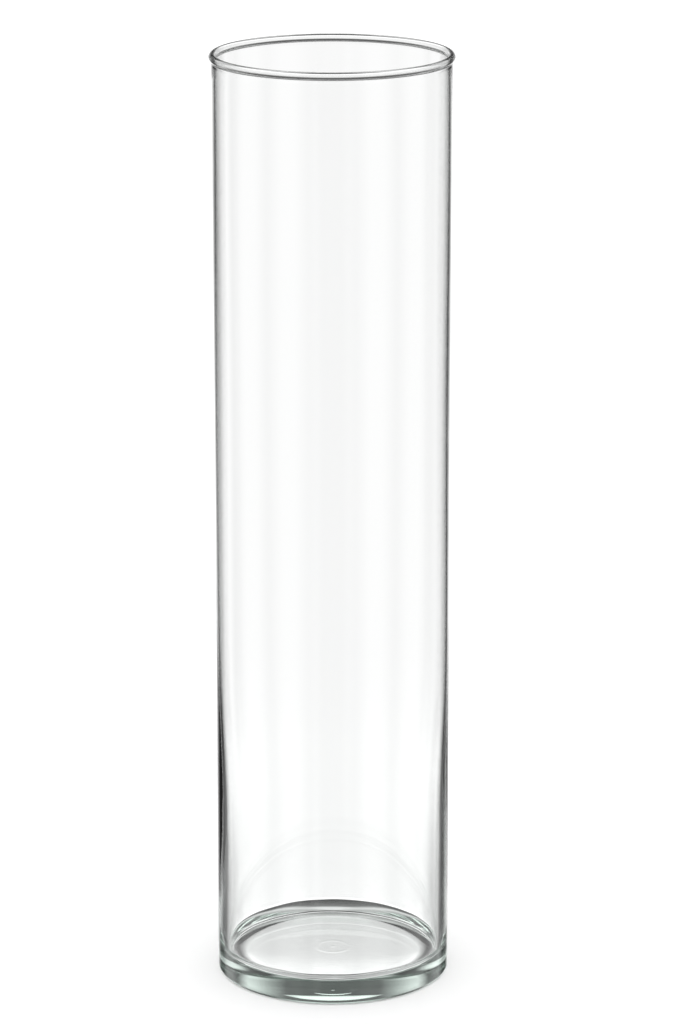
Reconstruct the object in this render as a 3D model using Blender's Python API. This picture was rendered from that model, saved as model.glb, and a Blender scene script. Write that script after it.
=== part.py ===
"""Glass cylinder vase, 305 mm tall and 76 mm across, in one piece of soda-lime glass.

The vase stands on Z = 0 with its axis on Z. It is a solid of revolution: one closed
outline, from the middle of the inside floor, up the inner wall, over the rim bead, down
the outside and back to the axis under the base, is turned once round Z.
Run it with: blender --background --python part.py
"""

import math

import bpy

# Driving dimensions, in metres.
HEIGHT = 0.305
OUTER_RADIUS = 0.038
RIM_WALL = 0.0011
FOOT_WALL = 0.0033
WALL_CHANGE_HEIGHT = 0.070
WALL_CHANGE_SPREAD = 0.014
FLOOR_THICKNESS = 0.0060
CORNER_WIDTH = 0.0076
CORNER_HEIGHT = 0.0040
HEEL_RADIUS = 0.0011
BEAD_RADIUS = 0.0012
BEAD_OVERHANG = 0.00085
BEAD_NECK = 0.0028
FOOT_RING_WIDTH = 0.0049
PUSH_UP = 0.0006
GATHER_MARK_RADIUS = 0.0055
GATHER_MARK_DEPTH = 0.0001

# Fineness of the turned shape.
SEGMENTS = 64
CORNER_STEPS = 7
HEEL_STEPS = 5
BEAD_STEPS = 11
WALL_STEPS = 14
WALL_CROWDING = 1.6
DOME_STEPS = 4
MERGE_DISTANCE = 0.00001

# Where the bead's round meets the neck on either side, in degrees round the bead's middle.
BEAD_INNER_END = 210
BEAD_OUTER_END = -40

# Look of the glass.
GLASS_COLOUR = (0.86, 0.93, 0.90, 1.0)
GLASS_ROUGHNESS = 0.02
GLASS_INDEX = 1.52

# Worked-out places on the outline.
BEAD_CENTRE_RADIUS = OUTER_RADIUS + BEAD_OVERHANG - BEAD_RADIUS
BEAD_CENTRE_HEIGHT = HEIGHT - BEAD_RADIUS
CORNER_TOP = FLOOR_THICKNESS + CORNER_HEIGHT
FOOT_OUTER = OUTER_RADIUS - HEEL_RADIUS
FOOT_INNER = FOOT_OUTER - FOOT_RING_WIDTH


def clear_scene():
    for item in list(bpy.data.objects):
        bpy.data.objects.remove(item, do_unlink=True)


def wall_thickness(height):
    """Glass thickness of the wall: thin at the rim, thick at the foot, with a smooth change."""
    fade = 1.0 + math.exp((height - WALL_CHANGE_HEIGHT) / WALL_CHANGE_SPREAD)
    return RIM_WALL + (FOOT_WALL - RIM_WALL) / fade


def inner_radius(height):
    return OUTER_RADIUS - wall_thickness(height)


def oval(centre, width, height, start, end, steps):
    """Points on an ellipse in the (radius, height) plane, both ends included, angles in degrees."""
    points = []
    for i in range(steps + 1):
        angle = math.radians(start + (end - start) * i / steps)
        points.append((centre[0] + width * math.cos(angle), centre[1] + height * math.sin(angle)))
    return points


def shallow_dome(radius, base, rise, steps):
    """Points of a parabolic dome from the axis out to its rim at height base."""
    points = []
    for i in range(steps + 1):
        r = radius * i / steps
        points.append((r, base + rise * (1.0 - (r / radius) ** 2)))
    return points


def floor_outline():
    """The inside floor: the gather mark at its middle, then flat to the inner corner."""
    return shallow_dome(GATHER_MARK_RADIUS, FLOOR_THICKNESS, -GATHER_MARK_DEPTH, DOME_STEPS)


def inner_wall_outline():
    """The wide, low inner corner and the inner wall, from the floor up to the neck of the bead."""
    centre = (inner_radius(CORNER_TOP) - CORNER_WIDTH, CORNER_TOP)
    points = oval(centre, CORNER_WIDTH, CORNER_HEIGHT, -90, 0, CORNER_STEPS)
    top = BEAD_CENTRE_HEIGHT - BEAD_NECK
    for i in range(1, WALL_STEPS + 1):
        # Rings lie closer together low down, where the thickness changes.
        height = CORNER_TOP + (top - CORNER_TOP) * (i / WALL_STEPS) ** WALL_CROWDING
        points.append((inner_radius(height), height))
    return points


def bead_outline():
    """The fire-polished bead, from its inner side over the top to its outer side."""
    centre = (BEAD_CENTRE_RADIUS, BEAD_CENTRE_HEIGHT)
    return oval(centre, BEAD_RADIUS, BEAD_RADIUS, BEAD_INNER_END, BEAD_OUTER_END, BEAD_STEPS)


def outside_outline():
    """The outer wall below the bead, and the rounded heel."""
    neck = (OUTER_RADIUS, BEAD_CENTRE_HEIGHT - BEAD_NECK)
    heel = oval((FOOT_OUTER, HEEL_RADIUS), HEEL_RADIUS, HEEL_RADIUS, 0, -90, HEEL_STEPS)
    return [neck] + heel


def underside_outline():
    """The flat foot ring, then the slight push-up, back to the axis."""
    return list(reversed(shallow_dome(FOOT_INNER, 0.0, PUSH_UP, DOME_STEPS)))


def vase_outline():
    return (
        floor_outline()
        + inner_wall_outline()
        + bead_outline()
        + outside_outline()
        + underside_outline()
    )


def glass_material():
    material = bpy.data.materials.new("clear_green_glass")
    material.use_nodes = True
    shader = material.node_tree.nodes["Principled BSDF"]
    shader.inputs["Base Color"].default_value = GLASS_COLOUR
    shader.inputs["Roughness"].default_value = GLASS_ROUGHNESS
    shader.inputs["Metallic"].default_value = 0.0
    shader.inputs["IOR"].default_value = GLASS_INDEX
    shader.inputs["Transmission Weight"].default_value = 1.0
    return material


def turned_object(name, outline, material):
    """An object made by turning an open outline, which starts and ends on the axis, round Z."""
    mesh = bpy.data.meshes.new(name)
    points = [(radius, 0.0, height) for radius, height in outline]
    edges = [(i, i + 1) for i in range(len(points) - 1)]
    mesh.from_pydata(points, edges, [])
    mesh.materials.append(material)
    body = bpy.data.objects.new(name, mesh)
    bpy.context.scene.collection.objects.link(body)

    screw = body.modifiers.new("turn", "SCREW")
    screw.axis = "Z"
    screw.angle = math.tau
    screw.steps = SEGMENTS
    screw.render_steps = SEGMENTS
    screw.use_smooth_shade = True
    screw.use_merge_vertices = True
    screw.merge_threshold = MERGE_DISTANCE
    return body


def build_vase():
    clear_scene()
    turned_object("vase_body", vase_outline(), glass_material())


build_vase()
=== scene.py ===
"""Looks of the glass cylinder vase: the fine turned mesh, its green glass and a plain studio."""

import math

import bmesh
import bpy
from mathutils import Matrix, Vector


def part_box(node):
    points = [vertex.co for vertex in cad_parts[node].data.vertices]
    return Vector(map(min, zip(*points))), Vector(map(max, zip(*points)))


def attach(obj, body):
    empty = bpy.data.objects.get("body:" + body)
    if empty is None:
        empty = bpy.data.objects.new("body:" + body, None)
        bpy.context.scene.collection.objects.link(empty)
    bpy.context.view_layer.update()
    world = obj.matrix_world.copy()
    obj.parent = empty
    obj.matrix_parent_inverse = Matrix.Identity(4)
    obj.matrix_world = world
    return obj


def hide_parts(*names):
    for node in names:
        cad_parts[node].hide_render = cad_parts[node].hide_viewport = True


# Driving dimensions of the glass, in metres. The height and the bead's outer radius come from the frame.
OUTER_RADIUS = 0.038
RIM_WALL = 0.0011
FOOT_WALL = 0.0033
WALL_CHANGE_HEIGHT = 0.070
WALL_CHANGE_SPREAD = 0.014
FLOOR_THICKNESS = 0.0060
CORNER_WIDTH = 0.0076
CORNER_HEIGHT = 0.0040
HEEL_RADIUS = 0.0011
BEAD_RADIUS = 0.0012
BEAD_NECK = 0.0028
FOOT_RING_WIDTH = 0.0049
PUSH_UP = 0.0006
MARK_RADIUS = 0.0052
MARK_WIDTH = 0.0007
MARK_DEPTH = 0.000025
PIP_RADIUS = 0.0005
PIP_DEPTH = 0.00005
MARK_END = 0.0075

# How far the neck's curve is pulled inwards and upwards at the bead, as shares of BEAD_NECK.
NECK_PULL_IN = 0.6
NECK_PULL_UP = 0.5

# Fineness of the mesh, and where the bead's arc starts and ends, in degrees. A point nearer the axis
# than AXIS_RADIUS, in metres, is on it.
SEGMENTS = 288
ARC_STEPS = 24
NECK_STEPS = 8
BEAD_INNER_END = 215
BEAD_OUTER_END = -45
WALL_RINGS = 60
FLOOR_RINGS = 16
MARK_RINGS = 40
AXIS_RADIUS = 1e-7

# Unevenness of the glass, in metres. Each wave is (size, waves round the vase, radians per metre of
# height, start in radians).
WAIST = 0.00018
OUTER_RIPPLE = 0.00003
INNER_RIPPLE = 0.00007
CORNER_RIPPLE = 0.00003
RIPPLE_START = 0.012
RIPPLE_END = 0.006
RIPPLE_GROWTH = 0.040
INNER_WAVES = ((1.0, 2, 9, 0.0), (0.6, 3, -14, 1.3), (0.35, 7, 25, 0.4))
OUTER_WAVES = ((1.0, 3, 11, 0.8), (0.5, 5, -8, 0.0))
CORNER_WAVES = ((1.0, 9, 0, 0.0), (1.0, 14, 0, 2.0))

# The glass. The tint is what the volume lets through, and the density is per metre.
GLASS_INDEX = 1.52
GLASS_TINT = (0.11, 0.61, 0.36, 1.0)
GLASS_DENSITY = 4.0
NOISE_SCALE = 60.0
NOISE_DETAIL = 2.0
BUMP_STRENGTH = 0.02
BUMP_DISTANCE = 0.001

# Floor, in metres. The drop keeps it just clear of the foot.
FLOOR_RADIUS = 8.0
FLOOR_SIDES = 96
FLOOR_DROP = 0.0002
FLOOR_GREY = 0.86
FLOOR_ROUGHNESS = 0.9

# Camera: places in metres, lens in millimetres.
CAMERA_DISTANCE = 1.35
CAMERA_HEIGHT = 0.526
AIM_SIDE = 0.00565
AIM_HEIGHT = 0.1553
LENS = 152.3
CLIP_END = 50.0
GLASS_BOUNCES = 48
GLOSSY_BOUNCES = 16


def mirrored(stops):
    """Stops at bearings to the right of straight ahead, and the same to the left."""
    return tuple((-bearing, level) for bearing, level in reversed(stops)) + stops


# Studio brightness by direction. Bearings are degrees clockwise from +Y, seen from above, and rises
# are degrees above level. 1.0 is paper white. BY_RISE is brightness, and SHARE is how much of it shows.
BRIGHTEST = 2.0
FLOOR_LIGHT = 1.42
BACKDROP = 1.0
# Behind the vase.
BACK_BY_RISE = (
    (-90, 0.6), (-60, 0.75), (-48, 0.8), (-36, 0.8), (-31, 1.35), (-25, 1.35), (-21.5, 0.98), (3, 0.97),
    (6, 0.5), (10, 0.13), (20, 0.1), (35, 0.1), (60, 0.3), (90, 0.5),
)
# Straight behind it, with a dark patch low down.
DIP_BY_RISE = (
    (-90, 0.9), (-64, 0.9), (-58, 0.15), (-50, 0.08), (-42, 0.04), (-33, 0.04), (-30, 1.35), (-25, 1.35),
    (-21.5, 0.98), (3, 0.97), (6, 0.5), (10, 0.13), (20, 0.1), (35, 0.1), (60, 0.3), (90, 0.5),
)
DIP_SHARE = mirrored(((6, 1.0), (12, 0.0), (180, 0.0)))
# The sides and the camera's side.
SIDE_BY_RISE = (
    (-90, 0.4), (-60, 0.5), (-43, 0.8), (-32, 1.6), (-23, 1.6), (-20, 1.1), (3, 1.0), (8, 0.3), (12, 0.12),
    (30, 0.12), (50, 0.7), (90, 0.7),
)
SIDE_SHARE = mirrored(((45, 0.0), (60, 1.0), (180, 1.0)))
# The dark strips. A colour ramp takes 32 stops at most, and GAP_SHARE has them all.
GAP_BY_RISE = ((-90, 0.4), (-45, 0.4), (-31, 0.05), (35, 0.05), (60, 0.4), (90, 0.5))
GAP_SHARE = (
    (-180, 0.4), (-171, 0.4), (-164, 0.1), (-156, 0.35), (-143, 0.0), (-128, 0.0), (-113, 0.4),
    (-98, 0.0), (-80, 0.0), (-68, 0.5), (-58, 0.0), (-47, 0.0), (-39, 0.8), (-36, 1.0), (-25, 1.0),
    (-18, 0.45), (-12, 0.0), (12, 0.0), (18, 0.5), (24, 1.0), (36, 1.0), (39, 0.8), (47, 0.0),
    (68, 0.5), (80, 0.0), (98, 0.0), (113, 0.4), (128, 0.0), (143, 0.0), (156, 0.35), (171, 0.4),
    (180, 0.4),
)
# Bright patches above the two widest strips.
GLINT = 1.0
GLINT_BY_RISE = ((-90, 0.0), (12, 0.0), (17, 0.7), (24, 0.9), (30, 0.7), (37, 0.0), (90, 0.0))
GLINT_SHARE = mirrored(((17, 0.0), (25, 0.5), (33, 0.9), (38, 1.0), (47, 0.0), (180, 0.0)))


def oval(centre, width, height, start, end, steps):
    """Points on an ellipse in the (radius, height) plane, both ends included, angles in degrees."""
    points = []
    for i in range(steps + 1):
        angle = math.radians(start + (end - start) * i / steps)
        points.append((centre[0] + width * math.cos(angle), centre[1] + height * math.sin(angle)))
    return points


def arc(centre, radius, start, end, steps):
    """Points on a circle, as for oval."""
    return oval(centre, radius, radius, start, end, steps)


def ease(first, first_pull, last, last_pull, steps):
    """Points between two ends, without the ends, on a smooth curve that leaves and arrives along the pulls."""
    points = []
    for i in range(1, steps):
        t = i / steps
        weights = (2 * t**3 - 3 * t**2 + 1, t**3 - 2 * t**2 + t, 3 * t**2 - 2 * t**3, t**3 - t**2)
        ends = (first, first_pull, last, last_pull)
        points.append(tuple(sum(w * p[axis] for w, p in zip(weights, ends)) for axis in (0, 1)))
    return points


def wall_thickness(height):
    """Thick at the foot and thin above, on a smooth curve."""
    fade = 1.0 + math.exp((height - WALL_CHANGE_HEIGHT) / WALL_CHANGE_SPREAD)
    return RIM_WALL + (FOOT_WALL - RIM_WALL) / fade


def waist(height, total):
    """How far the wall draws in between foot and rim."""
    share = min(max(height / total, 0.0), 1.0)
    return WAIST * math.sin(math.pi * share) ** 2


def evenly(start, end, count):
    """count values after start, up to and including end."""
    return [start + (end - start) * i / count for i in range(1, count + 1)]


def gather_mark(radius):
    """Depth of the faint pressed ring, and the pip at its middle, in the inside floor."""
    ring = math.exp(-((radius - MARK_RADIUS) / MARK_WIDTH) ** 2)
    pip = math.exp(-((radius / PIP_RADIUS) ** 2))
    return MARK_DEPTH * ring + PIP_DEPTH * pip


def outline(height, bead_outside):
    """The turned outline as (radius, height, zone) points, from the floor's middle round to the base's."""
    points = []
    corner_top = FLOOR_THICKNESS + CORNER_HEIGHT
    corner_centre = OUTER_RADIUS - wall_thickness(corner_top) - waist(corner_top, height) - CORNER_WIDTH
    for radius in [0.0] + evenly(0.0, MARK_END, MARK_RINGS) + evenly(MARK_END, corner_centre, FLOOR_RINGS):
        points.append((radius, FLOOR_THICKNESS - gather_mark(radius), "floor"))
    corner = oval((corner_centre, corner_top), CORNER_WIDTH, CORNER_HEIGHT, -90, 0, ARC_STEPS)
    points += [(r, z, "corner") for r, z in corner[1:]]

    bead_centre = (bead_outside - BEAD_RADIUS, height - BEAD_RADIUS)
    neck = bead_centre[1] - BEAD_NECK
    for z in evenly(corner_top, neck, WALL_RINGS):
        points.append((OUTER_RADIUS - wall_thickness(z) - waist(z, height), z, "inner"))
    bead = arc(bead_centre, BEAD_RADIUS, BEAD_INNER_END, BEAD_OUTER_END, ARC_STEPS)
    neck_out = (OUTER_RADIUS - waist(neck, height), neck)
    pull_in = NECK_PULL_IN * BEAD_NECK
    pull_up = NECK_PULL_UP * BEAD_NECK
    inner_neck = ease(points[-1][:2], (0.0, BEAD_NECK), bead[0], (-pull_in, pull_up), NECK_STEPS)
    outer_neck = ease(bead[-1], (-pull_in, -pull_up), neck_out, (0.0, -BEAD_NECK), NECK_STEPS)
    points += [(r, z, "bead") for r, z in inner_neck + bead + outer_neck]

    for z in [neck] + evenly(neck, HEEL_RADIUS, WALL_RINGS):
        points.append((OUTER_RADIUS - waist(z, height), z, "outer"))
    foot_outer = OUTER_RADIUS - HEEL_RADIUS
    heel = arc((foot_outer, HEEL_RADIUS), HEEL_RADIUS, 0, -90, ARC_STEPS)
    points += [(r, z, "heel") for r, z in heel[1:]]

    foot_inner = foot_outer - FOOT_RING_WIDTH
    for radius in [foot_inner] + evenly(foot_inner, 0.0, FLOOR_RINGS):
        points.append((radius, PUSH_UP * (1.0 - (radius / foot_inner) ** 2), "under"))
    return points


def waves(terms, angle, height):
    """Sum of the given waves at one place on the glass."""
    return sum(size * math.sin(turns * angle + climb * height + start) for size, turns, climb, start in terms)


def ripple(zone, angle, height, total):
    """Small slow unevenness of the glass. The wall's dies out towards the foot and the bead."""
    margin = min(height - RIPPLE_START, total - RIPPLE_END - height) / RIPPLE_GROWTH
    rise = min(max(margin, 0.0), 1.0)
    if zone == "inner":
        return rise * INNER_RIPPLE * waves(INNER_WAVES, angle, height)
    if zone == "outer":
        return rise * OUTER_RIPPLE * waves(OUTER_WAVES, angle, height)
    if zone == "corner":
        share = (height - FLOOR_THICKNESS) / CORNER_HEIGHT
        return CORNER_RIPPLE * math.sin(math.pi * share) * waves(CORNER_WAVES, angle, height)
    return 0.0


def turned_mesh(name, points):
    """Turn the outline round Z into one closed mesh, with a single point at each end on the axis."""
    mesh = bpy.data.meshes.new(name)
    bm = bmesh.new()
    rings = []
    total = max(height for _, height, _ in points)
    for radius, height, zone in points:
        if radius < AXIS_RADIUS:
            rings.append([bm.verts.new((0.0, 0.0, height))])
            continue
        ring = []
        for i in range(SEGMENTS):
            angle = math.tau * i / SEGMENTS
            r = radius + ripple(zone, angle, height, total)
            ring.append(bm.verts.new((r * math.cos(angle), r * math.sin(angle), height)))
        rings.append(ring)
    for lower, upper in zip(rings, rings[1:]):
        for i in range(SEGMENTS):
            j = (i + 1) % SEGMENTS
            if len(lower) == 1:
                corners = (lower[0], upper[i], upper[j])
            elif len(upper) == 1:
                corners = (lower[i], upper[0], lower[j])
            else:
                corners = (lower[i], upper[i], upper[j], lower[j])
            bm.faces.new(corners)
    bmesh.ops.recalc_face_normals(bm, faces=bm.faces)
    bm.to_mesh(mesh)
    bm.free()
    mesh.shade_smooth()
    return mesh


def glass_material():
    """Clear glass, tinted by its volume, with a very faint bump."""
    material = bpy.data.materials.new("clear_green_glass")
    material.use_nodes = True
    tree = material.node_tree
    shader = tree.nodes["Principled BSDF"]
    shader.inputs["Base Color"].default_value = (1.0, 1.0, 1.0, 1.0)
    shader.inputs["IOR"].default_value = GLASS_INDEX
    shader.inputs["Transmission Weight"].default_value = 1.0
    shader.inputs["Roughness"].default_value = 0.0

    absorption = tree.nodes.new("ShaderNodeVolumeAbsorption")
    absorption.inputs["Color"].default_value = GLASS_TINT
    absorption.inputs["Density"].default_value = GLASS_DENSITY
    tree.links.new(absorption.outputs["Volume"], tree.nodes["Material Output"].inputs["Volume"])

    place = tree.nodes.new("ShaderNodeTexCoord")
    noise = tree.nodes.new("ShaderNodeTexNoise")
    noise.inputs["Scale"].default_value = NOISE_SCALE
    noise.inputs["Detail"].default_value = NOISE_DETAIL
    tree.links.new(place.outputs["Object"], noise.inputs["Vector"])
    bump = tree.nodes.new("ShaderNodeBump")
    bump.inputs["Strength"].default_value = BUMP_STRENGTH
    bump.inputs["Distance"].default_value = BUMP_DISTANCE
    tree.links.new(noise.outputs["Fac"], bump.inputs["Height"])
    tree.links.new(bump.outputs["Normal"], shader.inputs["Normal"])
    return material


def make_vase():
    """The one piece of glass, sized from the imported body's box."""
    _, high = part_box("vase_body")
    mesh = turned_mesh("vase_glass", outline(high[2], high[0]))
    mesh.materials.append(glass_material())
    vase = bpy.data.objects.new("vase_glass", mesh)
    bpy.context.scene.collection.objects.link(vase)
    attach(vase, "root")
    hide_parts("vase_body")
    return vase


def make_camera():
    """A tilted camera in front of the vase, without shift or depth of field."""
    data = bpy.data.cameras.new("camera")
    data.lens = LENS
    data.clip_end = CLIP_END
    camera = bpy.data.objects.new("camera", data)
    camera.location = (0.0, -CAMERA_DISTANCE, CAMERA_HEIGHT)
    aim = Vector((AIM_SIDE, 0.0, AIM_HEIGHT)) - camera.location
    camera.rotation_euler = aim.to_track_quat("-Z", "Y").to_euler()
    bpy.context.scene.collection.objects.link(camera)
    bpy.context.scene.camera = camera


def make_floor():
    """A pale floor that the camera sees and the glass doesn't."""
    bm = bmesh.new()
    bmesh.ops.create_circle(bm, cap_ends=True, segments=FLOOR_SIDES, radius=FLOOR_RADIUS)
    mesh = bpy.data.meshes.new("floor")
    bm.to_mesh(mesh)
    bm.free()
    material = bpy.data.materials.new("pale_floor")
    material.use_nodes = True
    shader = material.node_tree.nodes["Principled BSDF"]
    shader.inputs["Base Color"].default_value = (FLOOR_GREY, FLOOR_GREY, FLOOR_GREY, 1.0)
    shader.inputs["Roughness"].default_value = FLOOR_ROUGHNESS
    shader.inputs["Specular IOR Level"].default_value = 0.0
    mesh.materials.append(material)
    floor = bpy.data.objects.new("floor", mesh)
    floor.location.z = -FLOOR_DROP
    bpy.context.scene.collection.objects.link(floor)
    floor.visible_transmission = False
    floor.visible_glossy = False


class Graph:
    """Small helper that adds shader nodes to a tree and joins them up."""

    # Sockets of the mix node that carry colours.
    MIX_FIRST = 6
    MIX_SECOND = 7
    MIX_RESULT = 2

    def __init__(self, tree):
        self.tree = tree

    def add(self, kind, **settings):
        node = self.tree.nodes.new(kind)
        for name, value in settings.items():
            setattr(node, name, value)
        return node

    def join(self, source, target):
        self.tree.links.new(source, target)

    def math(self, operation, first, second=None):
        """One step of arithmetic, where each term is a number or a socket."""
        node = self.add("ShaderNodeMath", operation=operation)
        for socket, value in zip(node.inputs, (first, second)):
            if value is None:
                continue
            if isinstance(value, (int, float)):
                socket.default_value = value
            else:
                self.join(value, socket)
        return node.outputs["Value"]

    def ramp(self, factor, stops, low, high, full=BRIGHTEST):
        """A grey colour ramp over low..high, with (position, brightness) stops, as shares of full."""
        node = self.add("ShaderNodeValToRGB")
        elements = node.color_ramp.elements
        while len(elements) > 1:
            elements.remove(elements[-1])
        for i, (place, level) in enumerate(stops):
            share = (place - low) / (high - low)
            element = elements[0] if i == 0 else elements.new(share)
            element.position = share
            grey = level / full
            element.color = (grey, grey, grey, 1.0)
        self.join(factor, node.inputs["Fac"])
        return node.outputs["Color"]

    def blend(self, factor, first, second):
        """First where the factor is 0, second where it is 1. Each is a grey or a socket."""
        node = self.add("ShaderNodeMix", data_type="RGBA")
        self.join(factor, node.inputs["Factor"])
        sockets = (node.inputs[self.MIX_FIRST], node.inputs[self.MIX_SECOND])
        for socket, value in zip(sockets, (first, second)):
            if isinstance(value, float):
                socket.default_value = (value, value, value, 1.0)
            else:
                self.join(value, socket)
        return node.outputs[self.MIX_RESULT]


def make_world():
    """Studio light by direction, for what the glass shows. The floor's light and the backdrop are plain."""
    world = bpy.data.worlds.new("studio")
    bpy.context.scene.world = world
    world.use_nodes = True
    world.cycles.sampling_method = "NONE"
    graph = Graph(world.node_tree)
    place = graph.add("ShaderNodeTexCoord")
    split = graph.add("ShaderNodeSeparateXYZ")
    graph.join(place.outputs["Generated"], split.inputs["Vector"])
    x, y, z = split.outputs
    bearing = graph.math("DIVIDE", graph.math("ARCTAN2", x, y), math.tau)
    bearing = graph.math("ADD", bearing, 0.5)
    rise = graph.math("DIVIDE", graph.math("ARCSINE", z), math.pi)
    rise = graph.math("ADD", rise, 0.5)

    back = graph.ramp(rise, BACK_BY_RISE, -90, 90)
    dip = graph.ramp(rise, DIP_BY_RISE, -90, 90)
    side = graph.ramp(rise, SIDE_BY_RISE, -90, 90)
    gap = graph.ramp(rise, GAP_BY_RISE, -90, 90)
    seen = graph.blend(graph.ramp(bearing, DIP_SHARE, -180, 180, full=1.0), back, dip)
    seen = graph.blend(graph.ramp(bearing, SIDE_SHARE, -180, 180, full=1.0), seen, side)
    seen = graph.blend(graph.ramp(bearing, GAP_SHARE, -180, 180, full=1.0), seen, gap)
    glint = graph.math(
        "MULTIPLY",
        graph.ramp(bearing, GLINT_SHARE, -180, 180, full=1.0),
        graph.ramp(rise, GLINT_BY_RISE, -90, 90, full=1.0),
    )
    seen = graph.blend(glint, seen, GLINT / BRIGHTEST)
    rays = graph.add("ShaderNodeLightPath")
    seen = graph.blend(rays.outputs["Diffuse Depth"], seen, FLOOR_LIGHT / BRIGHTEST)
    seen = graph.blend(rays.outputs["Is Camera Ray"], seen, BACKDROP / BRIGHTEST)
    glow = world.node_tree.nodes["Background"]
    graph.join(seen, glow.inputs["Color"])
    glow.inputs["Strength"].default_value = BRIGHTEST


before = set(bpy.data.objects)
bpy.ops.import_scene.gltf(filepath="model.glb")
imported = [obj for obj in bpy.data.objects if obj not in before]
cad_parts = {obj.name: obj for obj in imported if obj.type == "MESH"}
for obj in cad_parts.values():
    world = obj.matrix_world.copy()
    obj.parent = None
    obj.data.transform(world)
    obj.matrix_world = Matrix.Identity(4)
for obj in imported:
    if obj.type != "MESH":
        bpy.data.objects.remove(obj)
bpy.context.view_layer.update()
bpy.context.scene.view_settings.view_transform = "Standard"
bpy.context.scene.cycles.max_bounces = GLASS_BOUNCES
bpy.context.scene.cycles.transmission_bounces = GLASS_BOUNCES
bpy.context.scene.cycles.glossy_bounces = GLOSSY_BOUNCES
make_camera()
make_floor()
make_world()
make_vase()
